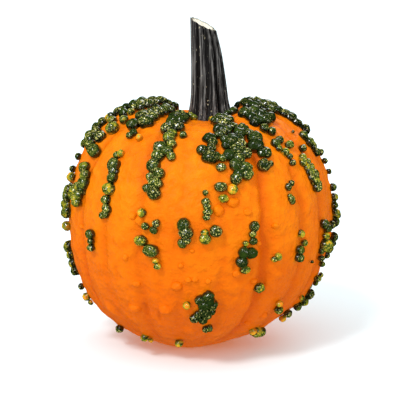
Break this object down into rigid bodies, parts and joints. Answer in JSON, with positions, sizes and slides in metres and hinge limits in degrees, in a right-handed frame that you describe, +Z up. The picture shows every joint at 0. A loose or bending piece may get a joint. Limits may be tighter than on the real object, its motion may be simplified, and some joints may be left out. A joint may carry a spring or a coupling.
{
  "type": "winter_squash",
  "caption": "Round ribbed winter squash with strings of green warts and a ridged, slant-cut stem, standing on the flat spot at its blossom end",
  "frame": {"origin": "on the flat spot the squash rests on, below the middle of its waist", "axes": "+Z up towards the stem; -Y is the side that the picture shows; +X to the viewer's right"},
  "size_m": [0.2817, 0.2803, 0.3248],
  "materials": {
    "skin": "smooth waxy orange rind with glossy dark green warts",
    "bark": "dry dark ridged stem with a pale cut end"
  },
  "bodies": {
    "root": {"fruit": "skin", "stem": "bark"}
  },
  "joints": []
}
